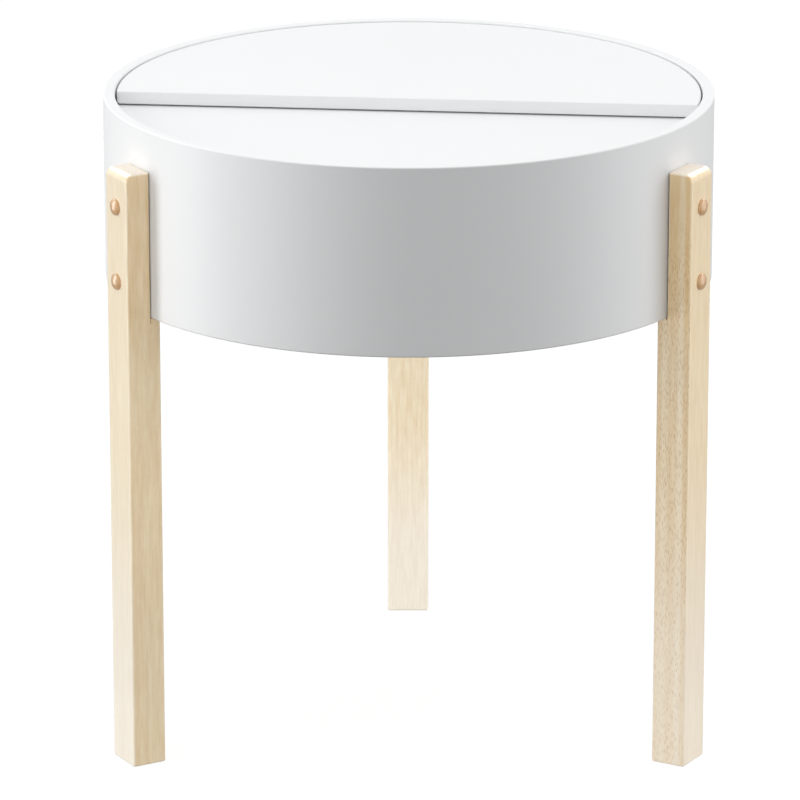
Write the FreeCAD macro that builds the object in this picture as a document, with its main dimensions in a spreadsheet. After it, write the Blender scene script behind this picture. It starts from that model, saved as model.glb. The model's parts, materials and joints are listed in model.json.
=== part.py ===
"""A round storage end table: a lacquered drum on three notched legs, closed by two overlapping lids.

Every piece is drawn about the drum's vertical axis, with the rear leg on +Y, and is then put in its
place by its Placement. Lengths are in millimetres, and heights are counted from the floor.
"""
import FreeCAD, Part
import math
import os
import Sketcher
from FreeCAD import Vector

# Driving dimensions, one cell of the sheet for each
SIZES = {
    # drum
    "table_height": 450.0,
    "drum_diameter": 420.0,
    "drum_height": 130.0,
    "wall_thick": 8.0,
    "rim_round": 1.2,
    "panel_thick": 6.0,
    "rabbet_depth": 4.0,
    "glue_gap": 0.2,
    # lids and what carries them
    "lid_thick": 9.0,
    "lid_side_gap": 1.2,
    "lid_drop": 1.0,
    "lid_reach": 21.5,
    "lid_turn": 5.5,
    "lid_edge_round": 1.0,
    "lid_corner_round": 2.5,
    "ledge_width": 12.0,
    "ledge_height": 12.0,
    "runner_end_gap": 1.5,
    "glide_diameter": 8.0,
    "glide_thick": 1.0,
    # legs
    "leg_width": 30.0,
    "leg_depth": 25.0,
    "leg_drop": 28.0,
    "leg_top_round": 6.0,
    "leg_edge_round": 1.6,
    "seat_gap": 0.3,
    # bolts, nuts and plugs
    "bolt_end_distance": 25.0,
    "bolt_diameter": 6.0,
    "bolt_gap": 0.25,
    "head_diameter": 10.0,
    "head_height": 6.0,
    "head_gap": 0.2,
    "socket_width": 5.0,
    "socket_depth": 3.0,
    "nut_barrel_diameter": 8.0,
    "nut_flange_diameter": 15.0,
    "nut_flange_thick": 1.2,
    "nut_gap": 0.1,
    "thread_gap": 0.1,
    "plug_diameter": 11.4,
    "plug_side": 1.4,
    "plug_stand_out": 3.3,
    "plug_shank": 3.5,
    "plug_gap": 0.1,
    "plug_edge_round": 0.7,
}

# Radii from the drum's axis
DRUM_R = "(Sizes.drum_diameter / 2)"
WALL_R = f"({DRUM_R} - Sizes.wall_thick)"
RABBET_R = f"({WALL_R} + Sizes.rabbet_depth)"
LEDGE_OUT_R = f"({WALL_R} - Sizes.glue_gap)"
LEDGE_IN_R = f"({LEDGE_OUT_R} - Sizes.ledge_width)"
LID_R = f"({WALL_R} - Sizes.lid_side_gap)"
GLIDE_R = f"(({LEDGE_IN_R} + {LID_R}) / 2)"
LEG_IN_R = f"({WALL_R} + Sizes.seat_gap)"
NOTCH_R = f"({DRUM_R} + Sizes.seat_gap)"
LEG_OUT_R = f"({LEG_IN_R} + Sizes.leg_depth)"
HEAD_SEAT_R = f"({LEG_OUT_R} - Sizes.plug_shank - Sizes.plug_gap - Sizes.head_height)"
NUT_SEAT_R = f"({WALL_R} + Sizes.nut_flange_thick)"

# Heights from the floor
DRUM_BASE = "(Sizes.table_height - Sizes.drum_height)"
PANEL_TOP = f"({DRUM_BASE} + Sizes.panel_thick)"
UPPER_LID_BASE = "(Sizes.table_height - Sizes.lid_drop - Sizes.lid_thick)"
GLIDE_BASE = f"({UPPER_LID_BASE} - Sizes.glide_thick)"
LEDGE_TOP = f"({GLIDE_BASE} - Sizes.lid_thick)"
LEDGE_BASE = f"({LEDGE_TOP} - Sizes.ledge_height)"
LEG_TOP = "(Sizes.table_height - Sizes.leg_drop)"
BOLT_HEIGHTS = {
    "upper": f"({LEG_TOP} - Sizes.bolt_end_distance)",
    "lower": f"({DRUM_BASE} + Sizes.bolt_end_distance)",
}

# Bores that take the fasteners
COUNTERBORE = "(Sizes.head_diameter + 2 * Sizes.head_gap)"
LEG_BORE = "(Sizes.bolt_diameter + 2 * Sizes.bolt_gap)"
WALL_BORE = "(Sizes.nut_barrel_diameter + 2 * Sizes.nut_gap)"
FLANGE_RECESS = "(Sizes.nut_flange_diameter + 2 * Sizes.nut_gap)"

# The rear leg's plugs reach past the drum, so the axis stands forward of the middle of the whole
AXIS_Y = f"(({DRUM_R} - {LEG_OUT_R} - Sizes.plug_stand_out) / 2)"

# What repeats about the drum's axis: legs over a full turn of degrees, glides over half a turn
LEG_SIDES = ("rear", "left", "right")
LEG_STEP = 360 / len(LEG_SIDES)
GLIDE_COUNT = 5
GLIDE_STEP = 180 / (GLIDE_COUNT - 1)

# How close two numbers count as equal
NEAR = 1e-4

doc = FreeCAD.newDocument("storage_end_table")
sheet = doc.addObject("Spreadsheet::Sheet", "Sizes")
for row, (alias, value) in enumerate(SIZES.items(), start=1):
    sheet.set(f"A{row}", alias)
    sheet.set(f"B{row}", str(value))
    sheet.setAlias(f"B{row}", alias)
doc.recompute()


def measure(expression):
    """The number that an expression on the sheet comes to."""
    return float(sheet.evalExpression(expression))


def new_body(label, height="0", turn="0"):
    """A body on the drum's axis, lifted to a height and turned about the axis."""
    body = doc.addObject("PartDesign::Body", label)
    body.Label = label
    body.Placement = FreeCAD.Placement(Vector(0, 0, 0), FreeCAD.Rotation(Vector(0, 0, 1), 0))
    body.setExpression("Placement.Base.y", AXIS_Y)
    body.setExpression("Placement.Base.z", height)
    body.setExpression("Placement.Rotation.Angle", turn)
    return body


def origin_feature(body, role):
    return next(feature for feature in body.Origin.OriginFeatures if feature.Role == role)


def new_sketch(body, name, plane, lift="0"):
    """A sketch on one of the body's own planes, lifted along that plane's normal."""
    sketch = body.newObject("Sketcher::SketchObject", f"{body.Label}_{name}")
    sketch.AttachmentSupport = [(origin_feature(body, plane), "")]
    sketch.MapMode = "FlatFace"
    sketch.setExpression("AttachmentOffset.Base.z", lift)
    return sketch


def bind(sketch, expression, *constraint):
    """Add a constraint whose value follows an expression."""
    index = sketch.addConstraint(Sketcher.Constraint(*constraint, measure(expression)))
    sketch.setExpression(f"Constraints[{index}]", expression)


def pin_point(sketch, geometry, end, x, y):
    """Hold one end of a line or arc at a place given by two expressions."""
    for kind, axis, expression in (("DistanceX", -2, x), ("DistanceY", -1, y)):
        value = measure(expression)
        if abs(value) < NEAR:
            sketch.addConstraint(Sketcher.Constraint("PointOnObject", geometry, end, axis))
        elif value > 0:
            bind(sketch, expression, kind, -1, 1, geometry, end)
        else:
            bind(sketch, f"-({expression})", kind, geometry, end, -1, 1)


def draw_outline(sketch, points, closed=True):
    """Straight lines through points given as pairs of expressions."""
    corners = [Vector(measure(x), measure(y), 0) for x, y in points]
    ends = corners[1:] + corners[:1] if closed else corners[1:]
    lines = [sketch.addGeometry(Part.LineSegment(start, end)) for start, end in zip(corners, ends)]
    for line, after in zip(lines, lines[1:]):
        sketch.addConstraint(Sketcher.Constraint("Coincident", line, 2, after, 1))
    for line, point in zip(lines, points):
        pin_point(sketch, line, 1, *point)
    if closed:
        sketch.addConstraint(Sketcher.Constraint("Coincident", lines[-1], 2, lines[0], 1))
    else:
        pin_point(sketch, lines[-1], 2, *points[-1])
    return lines, corners


def draw_circle(sketch, x, y, diameter):
    circle = sketch.addGeometry(Part.Circle(Vector(measure(x), measure(y), 0), Vector(0, 0, 1), 1))
    pin_point(sketch, circle, 3, x, y)
    bind(sketch, diameter, "Diameter", circle)


def draw_chord_arc(sketch, radius, chord):
    """The arc about the axis that lies behind a chord, from its right end to its left."""
    r, y = measure(radius), measure(chord)
    half_chord = math.sqrt(r ** 2 - y ** 2)
    right, left = Vector(half_chord, y, 0), Vector(-half_chord, y, 0)
    arc = sketch.addGeometry(Part.Arc(right, Vector(0, r, 0), left))
    sketch.addConstraint(Sketcher.Constraint("Coincident", arc, 3, -1, 1))
    bind(sketch, radius, "Radius", arc)
    return arc, right, left


def add_feature(body, kind, name, profile=None, **settings):
    """A feature of a body. Text settings are expressions on the sheet."""
    feature = body.newObject(f"PartDesign::{kind}", f"{body.Label}_{name}")
    if profile is not None:
        feature.Profile = profile
    for key, value in settings.items():
        if isinstance(value, str) and "Sizes." in value:
            feature.setExpression(key, value)
        else:
            setattr(feature, key, value)
    doc.recompute()
    return feature


def cut_feature(body, kind, name, profile, **settings):
    """A cut that has to take material away."""
    before = body.Shape.Volume
    feature = add_feature(body, kind, name, profile, **settings)
    if not feature.Shape.Volume < before - NEAR:
        raise RuntimeError(f"{feature.Label} cuts nothing")
    return feature


def round_edges(body, name, radius, chosen):
    """Round the edges of the unplaced body whose bounding boxes pass a test."""
    solid = body.Tip
    edges = [f"Edge{i}" for i, edge in enumerate(solid.Shape.Edges, start=1) if chosen(edge.BoundBox)]
    return add_feature(body, "Fillet", name, Base=(solid, edges), Radius=radius)


def near(value, *expressions):
    """Whether a number is one of the given sizes."""
    return any(abs(value - measure(expression)) < NEAR for expression in expressions)


def level(box):
    return box.ZLength < NEAR


def revolve_about_y(body, points):
    """A turned piece whose axis points out of the drum, from points of distance and radius."""
    sketch = new_sketch(body, "section", "YZ_Plane")
    draw_outline(sketch, points)
    return add_feature(body, "Revolution", "turning", sketch, ReferenceAxis=(sketch, ["H_Axis"]), Angle=360)


def make_drum_wall():
    """The ring, with a rabbet for the floor and bolt holes with flats for the nuts."""
    body = new_body("drum_wall")
    section = new_sketch(body, "section", "XZ_Plane")
    draw_outline(section, [
        (WALL_R, PANEL_TOP),
        (WALL_R, "Sizes.table_height"),
        (DRUM_R, "Sizes.table_height"),
        (DRUM_R, DRUM_BASE),
        (RABBET_R, DRUM_BASE),
        (RABBET_R, PANEL_TOP),
    ])
    add_feature(body, "Revolution", "ring", section, ReferenceAxis=(section, ["V_Axis"]), Angle=360)

    def outer_arris(box):
        at_rim = near(box.ZMax, "Sizes.table_height")
        at_foot = near(box.ZMax, DRUM_BASE) and near(box.XMax, DRUM_R)
        return level(box) and (at_rim or at_foot)

    round_edges(body, "arrises", "Sizes.rim_round", outer_arris)
    bores = new_sketch(body, "bores", "XZ_Plane")
    recesses = new_sketch(body, "recesses", "XZ_Plane")
    for height in BOLT_HEIGHTS.values():
        draw_circle(bores, "0", height, WALL_BORE)
        draw_circle(recesses, "0", height, FLANGE_RECESS)
    bored = cut_feature(body, "Pocket", "bore", bores, Length=f"{DRUM_R} + Sizes.wall_thick")
    sunk = cut_feature(body, "Pocket", "recess", recesses, Length=NUT_SEAT_R)
    body.Tip = add_feature(
        body, "PolarPattern", "at_each_leg", Originals=[bored, sunk], Angle=360,
        Occurrences=len(LEG_SIDES), Axis=(origin_feature(body, "Z_Axis"), [""]))


def make_bottom_panel():
    """The floor of the drum, flush with the foot of the wall."""
    body = new_body("bottom_panel", DRUM_BASE)
    disc = new_sketch(body, "disc", "XY_Plane")
    draw_circle(disc, "0", "0", f"2 * ({RABBET_R} - Sizes.glue_gap)")
    add_feature(body, "Pad", "board", disc, Length="Sizes.panel_thick")


def make_lid_ledge_ring():
    """The ring inside the wall that carries the lower lid."""
    body = new_body("lid_ledge_ring", LEDGE_BASE)
    ring = new_sketch(body, "ring", "XY_Plane")
    for radius in (LEDGE_OUT_R, LEDGE_IN_R):
        draw_circle(ring, "0", "0", f"2 * {radius}")
    add_feature(body, "Pad", "strip", ring, Length="Sizes.ledge_height")


def make_lid_runner():
    """The arc on the ledge behind the lower lid, level with its top."""
    body = new_body("lid_runner", LEDGE_TOP)
    arc_sketch = new_sketch(body, "arc", "XY_Plane")
    chord = "Sizes.lid_reach + Sizes.runner_end_gap"
    outer, outer_right, outer_left = draw_chord_arc(arc_sketch, LEDGE_OUT_R, chord)
    inner, inner_right, inner_left = draw_chord_arc(arc_sketch, LEDGE_IN_R, chord)
    for start, end, arc_end in ((outer_right, inner_right, 1), (outer_left, inner_left, 2)):
        line = arc_sketch.addGeometry(Part.LineSegment(start, end))
        arc_sketch.addConstraint(Sketcher.Constraint("Coincident", line, 1, outer, arc_end))
        arc_sketch.addConstraint(Sketcher.Constraint("Coincident", line, 2, inner, arc_end))
        arc_sketch.addConstraint(Sketcher.Constraint("Horizontal", line))
        bind(arc_sketch, chord, "DistanceY", -1, 1, line, 1)
    add_feature(body, "Pad", "strip", arc_sketch, Length="Sizes.lid_thick")


def make_lid(label, base, turn):
    """A lid a little larger than half a disc, so that the round wall keeps hold of it."""
    body = new_body(label, base, turn)
    plan = new_sketch(body, "plan", "XY_Plane")
    arc, right, left = draw_chord_arc(plan, LID_R, "-Sizes.lid_reach")
    line = plan.addGeometry(Part.LineSegment(left, right))
    plan.addConstraint(Sketcher.Constraint("Coincident", line, 1, arc, 2))
    plan.addConstraint(Sketcher.Constraint("Coincident", line, 2, arc, 1))
    plan.addConstraint(Sketcher.Constraint("Horizontal", line))
    bind(plan, "Sizes.lid_reach", "DistanceY", line, 1, -1, 1)
    add_feature(body, "Pad", "board", plan, Length="Sizes.lid_thick")
    round_edges(body, "corners", "Sizes.lid_corner_round", lambda box: not level(box))
    round_edges(body, "arrises", "Sizes.lid_edge_round", level)


def make_lid_glide(index):
    """A thin disc under the upper lid, which slides on the runner and on the lower lid."""
    turn = f"{index * GLIDE_STEP} - Sizes.lid_turn"
    body = new_body(f"lid_glide_{index + 1}", GLIDE_BASE, turn)
    disc = new_sketch(body, "disc", "XY_Plane")
    draw_circle(disc, GLIDE_R, "0", "Sizes.glide_diameter")
    add_feature(body, "Pad", "felt", disc, Length="Sizes.glide_thick")


def make_leg(side, turn):
    """A square leg, notched to take the wall on a shoulder and bored for two bolts."""
    body = new_body(f"{side}_leg", turn=turn)
    profile = new_sketch(body, "profile", "YZ_Plane")
    draw_outline(profile, [
        (LEG_IN_R, "0"),
        (LEG_OUT_R, "0"),
        (LEG_OUT_R, LEG_TOP),
        (NOTCH_R, LEG_TOP),
        (NOTCH_R, DRUM_BASE),
        (LEG_IN_R, DRUM_BASE),
    ])
    add_feature(body, "Pad", "bar", profile, Length="Sizes.leg_width", SideType="Symmetric")

    def top_outer_edge(box):
        return level(box) and near(box.ZMin, LEG_TOP) and near(box.YMin, LEG_OUT_R)

    def long_or_foot_edge(box):
        on_side = box.XLength < NEAR
        on_notch = near(box.YMin, NOTCH_R) and near(box.YMax, NOTCH_R)
        on_shoulder = level(box) and near(box.ZMin, DRUM_BASE)
        at_foot = level(box) and abs(box.ZMin) < NEAR
        return at_foot or (on_side and not on_notch and not on_shoulder)

    round_edges(body, "top_round", "Sizes.leg_top_round", top_outer_edge)
    round_edges(body, "arrises", "Sizes.leg_edge_round", long_or_foot_edge)
    bores = new_sketch(body, "bores", "XZ_Plane")
    counterbores = new_sketch(body, "counterbores", "XZ_Plane", f"-{LEG_OUT_R}")
    for height in BOLT_HEIGHTS.values():
        draw_circle(bores, "0", height, LEG_BORE)
        draw_circle(counterbores, "0", height, COUNTERBORE)
    cut_feature(body, "Pocket", "bore", bores, Length=LEG_OUT_R)
    cut_feature(
        body, "Pocket", "counterbore", counterbores, Reversed=True, Length=f"{LEG_OUT_R} - {HEAD_SEAT_R}")


def make_bolt(label, height, turn):
    """A socket-head bolt, its head on the floor of the counterbore and its tip flush with the nut."""
    body = new_body(label, height, turn)
    head_face = f"({HEAD_SEAT_R} + Sizes.head_height)"
    revolve_about_y(body, [
        (WALL_R, "0"),
        (WALL_R, "Sizes.bolt_diameter / 2"),
        (HEAD_SEAT_R, "Sizes.bolt_diameter / 2"),
        (HEAD_SEAT_R, "Sizes.head_diameter / 2"),
        (head_face, "Sizes.head_diameter / 2"),
        (head_face, "0"),
    ])
    half_width = "Sizes.socket_width / 2"
    corner = "Sizes.socket_width / sqrt(3)"
    half_corner = "Sizes.socket_width / sqrt(3) / 2"
    socket = new_sketch(body, "socket", "XZ_Plane", f"-{head_face}")
    draw_outline(socket, [
        (corner, "0"),
        (half_corner, half_width),
        (f"-{half_corner}", half_width),
        (f"-{corner}", "0"),
        (f"-{half_corner}", f"-{half_width}"),
        (half_corner, f"-{half_width}"),
    ])
    cut_feature(body, "Pocket", "hexagon", socket, Reversed=True, Length="Sizes.socket_depth")


def make_nut(label, height, turn):
    """A flanged sleeve nut, its flange let into the inside of the wall."""
    body = new_body(label, height, turn)
    bore = "(Sizes.bolt_diameter / 2 + Sizes.thread_gap)"
    sleeve_end = f"({DRUM_R} - Sizes.seat_gap)"
    revolve_about_y(body, [
        (WALL_R, bore),
        (WALL_R, "Sizes.nut_flange_diameter / 2"),
        (NUT_SEAT_R, "Sizes.nut_flange_diameter / 2"),
        (NUT_SEAT_R, "Sizes.nut_barrel_diameter / 2"),
        (sleeve_end, "Sizes.nut_barrel_diameter / 2"),
        (sleeve_end, bore),
    ])


def make_plug(label, height, turn):
    """A domed wooden plug, its head on the leg's face and its shank in the counterbore."""
    body = new_body(label, height, turn)
    shank = f"({COUNTERBORE} / 2 - Sizes.plug_gap)"
    shank_end = f"({LEG_OUT_R} - Sizes.plug_shank)"
    dome_edge = f"({LEG_OUT_R} + Sizes.plug_side)"
    dome_top = f"({LEG_OUT_R} + Sizes.plug_stand_out)"
    head = "(Sizes.plug_diameter / 2)"
    points = [
        (dome_top, "0"),
        (shank_end, "0"),
        (shank_end, shank),
        (LEG_OUT_R, shank),
        (LEG_OUT_R, head),
        (dome_edge, head),
    ]
    section = new_sketch(body, "section", "YZ_Plane")
    lines, corners = draw_outline(section, points, closed=False)

    # The dome is an arc whose centre lies on the plug's axis
    top, edge = corners[0], corners[-1]
    rise = top.x - edge.x
    radius = (edge.y ** 2 + rise ** 2) / (2 * rise)
    half_angle = math.asin(edge.y / radius) / 2
    middle = Vector(top.x - radius + radius * math.cos(half_angle), radius * math.sin(half_angle), 0)
    dome = section.addGeometry(Part.Arc(top, middle, edge))
    section.addConstraint(Sketcher.Constraint("Coincident", dome, 1, lines[0], 1))
    section.addConstraint(Sketcher.Constraint("Coincident", dome, 2, lines[-1], 2))
    section.addConstraint(Sketcher.Constraint("PointOnObject", dome, 3, -1))
    add_feature(body, "Revolution", "turning", section, ReferenceAxis=(section, ["H_Axis"]), Angle=360)

    def dome_rim(box):
        return near(box.YMin, dome_edge) and near(box.YMax, dome_edge) and box.XLength > NEAR

    round_edges(body, "rim", "Sizes.plug_edge_round", dome_rim)


make_drum_wall()
make_bottom_panel()
make_lid_ledge_ring()
make_lid_runner()
make_lid("lower_lid", LEDGE_TOP, "180")
make_lid("upper_lid", UPPER_LID_BASE, "-Sizes.lid_turn")
for index in range(GLIDE_COUNT):
    make_lid_glide(index)
for index, side in enumerate(LEG_SIDES):
    turn = str(index * LEG_STEP)
    make_leg(side, turn)
    for place, height in BOLT_HEIGHTS.items():
        make_bolt(f"{side}_{place}_bolt", height, turn)
        make_nut(f"{side}_{place}_nut", height, turn)
        make_plug(f"{side}_{place}_plug", height, turn)

doc.recompute()
for item in doc.Objects:
    if {"Invalid", "Error"} & set(item.State):
        raise RuntimeError(f"{item.Label} failed: {item.State}")
bodies = [item for item in doc.Objects if item.TypeId == "PartDesign::Body"]
for body in bodies:
    if body.Shape.isNull() or not body.Shape.isValid() or len(body.Shape.Solids) != 1:
        raise RuntimeError(f"{body.Label} isn't one sound solid")
os.makedirs("parts", exist_ok=True)
for body in bodies:
    body.Shape.exportStep(f"parts/{body.Label}.step")
    print(f"{body.Label}: {body.Shape.Volume / 1000:.2f} cm3")
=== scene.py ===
"""Storage end table: a white lacquered drum with two overlapping lids, on three pale wooden legs.

The packed frame gives the sizes and places of the pieces, and the bolts as they are. Every other piece is
built here as a finished mesh, gets its finish and rides on its body, and a small studio is set up around
the table. All is in metres.
"""
import json
import math

import bmesh
import bpy
from bpy.props import FloatProperty, FloatVectorProperty, PointerProperty
from bpy.types import Operator, Panel, PropertyGroup
from mathutils import Matrix, Vector


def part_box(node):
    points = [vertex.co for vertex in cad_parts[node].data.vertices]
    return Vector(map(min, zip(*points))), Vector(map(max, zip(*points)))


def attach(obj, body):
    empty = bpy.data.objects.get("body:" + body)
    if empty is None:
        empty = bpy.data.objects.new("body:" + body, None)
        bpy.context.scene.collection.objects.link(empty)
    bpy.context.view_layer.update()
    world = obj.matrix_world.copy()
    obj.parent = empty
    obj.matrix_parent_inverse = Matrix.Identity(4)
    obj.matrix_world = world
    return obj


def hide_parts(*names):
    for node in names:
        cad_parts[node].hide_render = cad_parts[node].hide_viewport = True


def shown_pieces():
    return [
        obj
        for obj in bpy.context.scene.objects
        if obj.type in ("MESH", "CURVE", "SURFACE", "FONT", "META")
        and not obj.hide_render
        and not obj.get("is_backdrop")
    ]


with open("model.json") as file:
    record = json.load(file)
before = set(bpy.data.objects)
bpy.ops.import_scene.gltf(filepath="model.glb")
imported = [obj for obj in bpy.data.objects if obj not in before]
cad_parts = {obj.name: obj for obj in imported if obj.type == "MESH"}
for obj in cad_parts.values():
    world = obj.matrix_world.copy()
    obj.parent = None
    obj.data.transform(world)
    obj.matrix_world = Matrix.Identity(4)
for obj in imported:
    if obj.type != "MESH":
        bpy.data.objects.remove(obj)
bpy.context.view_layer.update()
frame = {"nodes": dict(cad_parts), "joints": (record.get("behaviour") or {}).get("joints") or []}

bl_info = {
    "name": "Storage End Table",
    "version": (1, 0, 0),
    "blender": (4, 5, 0),
    "location": "View3D > Sidebar > End Table",
    "description": "Builds a round storage table with two overlapping lids around its packed frame",
    "category": "Object",
}

# How close two lengths count as equal
NEAR = 1e-6

# Faces that meet at more than this angle keep a crisp edge
SHARP_ANGLE = math.radians(32)

# Steps of a full turn, for the drum and its boards, and for small turned pieces
WIDE_STEPS = 192
SMALL_STEPS = 40

# Steps from the top of a plug's dome to its rim
DOME_STEPS = 8


def turning_point(joint_name):
    """The point of the frame that a joint turns about."""
    joint = next(joint for joint in frame["joints"] if joint["name"] == joint_name)
    return Vector(joint["pos_m"])


def reach_of(node):
    """How far a round node reaches from the drum's axis."""
    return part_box(node)[1].x - AXIS.x


def middle_of(node):
    """The middle of a node's box."""
    low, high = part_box(node)
    return (low + high) / 2


# Places taken from the frame. The nuts lie flush with the inside of the wall.
AXIS = turning_point("upper_lid_turn") * Vector((1, 1, 0))
DRUM_RADIUS = reach_of("drum_wall")
DRUM_BASE, TABLE_TOP = (corner.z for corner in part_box("drum_wall"))
WALL_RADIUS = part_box("rear_upper_nut")[0].y - AXIS.y
PANEL_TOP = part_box("bottom_panel")[1].z
LEDGE_BASE, LEDGE_TOP = (corner.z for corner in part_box("lid_ledge_ring"))
RUNNER_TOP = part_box("lid_runner")[1].z
RUNNER_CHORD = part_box("lid_runner")[0].y - AXIS.y
LID_RADIUS = reach_of("lower_lid")
LID_BASE = {lid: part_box(lid)[0].z for lid in ("lower_lid", "upper_lid")}
LID_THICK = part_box("lower_lid")[1].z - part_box("lower_lid")[0].z
LID_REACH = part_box("lower_lid")[1].y - AXIS.y
LEG_IN, LEG_OUT = (corner.y - AXIS.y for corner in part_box("rear_leg"))
LEG_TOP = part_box("rear_leg")[1].z
LEG_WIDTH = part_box("rear_leg")[1].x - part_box("rear_leg")[0].x
PLUG_IN, PLUG_OUT = (corner.y - AXIS.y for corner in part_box("rear_upper_plug"))
PLUG_RADIUS = reach_of("rear_upper_plug")
NUT_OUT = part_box("rear_upper_nut")[1].y - AXIS.y
FLANGE_RADIUS = reach_of("rear_upper_nut")
HEAD_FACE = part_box("rear_upper_bolt")[1].y - AXIS.y

# What repeats about the drum's axis
LEG_TURNS = {side: index * math.tau / 3 for index, side in enumerate(("rear", "left", "right"))}
BOLT_HEIGHTS = {level: middle_of(f"rear_{level}_plug").z for level in ("upper", "lower")}
BOLTS = [(side, level) for side in LEG_TURNS for level in BOLT_HEIGHTS]
GLIDES = [f"lid_glide_{index}" for index in range(1, 6)]

# Rounding under a felt pad, as a share of the pad's thickness
GLIDE_ROUND = 1 / 3

# Width of the saw cut in the corner of each leg's notch, and how far the saw ran on past that corner
LEG_KERFS = {"rear": (0.0005, 0.0015), "left": (0.0005, 0.0035), "right": (0.0012, 0.0012)}


def length(name, description, default):
    """A length that a user may change."""
    return FloatProperty(
        name=name, description=description, default=default, min=0.0, precision=4,
        subtype="DISTANCE", unit="LENGTH")


def angle(name, description, degrees):
    """An angle that a user may change."""
    return FloatProperty(
        name=name, description=description, default=math.radians(degrees), subtype="ANGLE", unit="ROTATION")


def colour(name, description, default):
    """A colour that a user may change, in linear light."""
    return FloatVectorProperty(
        name=name, description=description, default=default, size=3, min=0.0, max=1.0, subtype="COLOR")


def watts(name, description, default):
    """The power of a lamp that a user may change."""
    return FloatProperty(
        name=name, description=description, default=default, min=0.0, subtype="POWER", unit="POWER")


def brightness(name, description, default):
    """The brightness of a part of the room that a user may change."""
    return FloatProperty(name=name, description=description, default=default, min=0.0)

# Build the table piece by piece and set up the studio.

class EndTableDrum(PropertyGroup):
    """Sizes of the drum"""

    wall: length("Wall", "Thickness of the bent wall", DRUM_RADIUS - WALL_RADIUS)
    rim_round: length("Rim round", "Rounding of the wall's outer edges", 0.0012)
    rabbet: length("Rabbet", "How far the floor is let into the wall", 0.004)
    ledge: length("Ledge", "Width of the ring that carries the lids", 0.012)
    board_round: length("Board round", "Rounding of the edges of the inner boards", 0.0006)


class EndTableLids(PropertyGroup):
    """Sizes of the lids"""

    reach: length("Reach", "How far a lid's straight edge lies past the middle of the drum", LID_REACH)
    turn: angle("Turn", "How far the upper lid is turned from square", -5.5)
    corner_round: length("Corner round", "Rounding of a lid's two corners", 0.0025)
    edge_round: length("Edge round", "Rounding along a lid's edges", 0.001)


class EndTableLegs(PropertyGroup):
    """Sizes of the legs"""

    top_round: length("Top round", "Rounding of the top outer edge", 0.006)
    edge_round: length("Edge round", "Rounding of the long edges and of the foot", 0.0016)
    notch_round: length("Notch round", "Rounding of the edges beside the wall", 0.0004)
    seat_gap: length("Seat gap", "Room between the notch and the wall", 0.0003)


class EndTableFasteners(PropertyGroup):
    """Sizes of the plugs, nuts and bores"""

    plug_side: length("Plug side", "Height of the straight side under a plug's dome", 0.0014)
    plug_round: length("Plug round", "Rounding at the rim of a plug's dome", 0.0007)
    shank: length("Shank", "Radius of a plug's shank", 0.0051)
    counterbore: length("Counterbore", "Radius of the bore for a bolt's head", 0.0052)
    head: length("Head", "Height of a bolt's head", 0.006)
    leg_bore: length("Leg bore", "Radius of the bolt hole in a leg", 0.00325)
    barrel: length("Barrel", "Radius of a nut's sleeve", 0.004)
    flange: length("Flange", "Thickness of a nut's flange", 0.0012)
    thread: length("Thread", "Radius of the hole in a nut", 0.0031)
    fit: length("Fit", "Room around a nut in the wall", 0.0001)
    break_edge: length("Broken edge", "Rounding of small metal edges", 0.0003)


class EndTableFinish(PropertyGroup):
    """Colours of the finishes"""

    lacquer: colour("Lacquer", "Satin white on the wall and the lids", (0.875, 0.884, 0.89))
    board: colour("Board", "Matt white of the boards inside", (0.82, 0.82, 0.80))
    sapwood: colour("Sapwood", "Pale wood of the legs", (0.92, 0.802, 0.597))
    heartwood: colour("Heartwood", "Warmer layers in the legs", (0.80, 0.59, 0.325))
    # The end-grain colour also serves as painted light from the floor on the lower legs
    end_grain_and_foot_light: colour("End grain", "Palest wood, on the ends of the legs", (0.92, 0.865, 0.785))
    pore: colour("Pore", "Short brown pores in the legs", (0.50, 0.25, 0.08))
    dowel: colour("Dowel", "Reddish wood of the plugs", (0.60, 0.36, 0.17))
    zinc: colour("Zinc", "Plating of bolts and nuts", (0.70, 0.71, 0.73))
    felt: colour("Felt", "Pads under the upper lid", (0.55, 0.55, 0.53))


class EndTableStudio(PropertyGroup):
    """The camera and the lamps"""

    distance: length("Distance", "From the lens to the point it looks at", 4.1598)
    aim_height: length("Aim height", "Height of that point on the drum's axis", 0.2262)
    sidestep: FloatProperty(
        name="Sidestep", description="How far the camera stands to the right", default=-0.006,
        unit="LENGTH")
    pitch: angle("Pitch", "How far the camera looks down", 17.16)
    lens: FloatProperty(
        name="Lens", description="Focal length in millimetres", default=268.0, min=1.0,
        subtype="DISTANCE_CAMERA", unit="CAMERA")
    key_power: watts("Key", "Softbox at the left, for all but the wood", 20.0)
    wood_key_power: watts("Wood key", "The same for the wood", 14.5)
    left_power: watts("Left", "Weaker softbox in front, at the left", 6.6)
    right_power: watts("Right", "Wide softbox at the right, for all but the wood", 16.7)
    wood_right_power: watts("Wood right", "The same for the wood", 19.3)
    top_power: watts("Top", "Softbox above", 9.4)
    front_power: watts("Front", "Low lamp that reaches the front legs alone", 13.8)
    rear_power: watts("Rear", "Low lamp that reaches the rear leg alone", 28.0)
    edge_power: watts("Edge", "Two lamps behind that put a highlight on the wood", 7.5)
    plug_power: watts("Plug", "Tall lamp that puts a highlight on the left plugs", 14.0)
    glow_power: watts("Glow", "Light that the wood gets back from the floor", 1.0)
    room: brightness("Room", "Brightness of the room all around", 0.12)
    ceiling: brightness("Ceiling", "Brightness added above", 0.53)
    backdrop: brightness("Backdrop", "Brightness added behind", 0.22)


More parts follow.
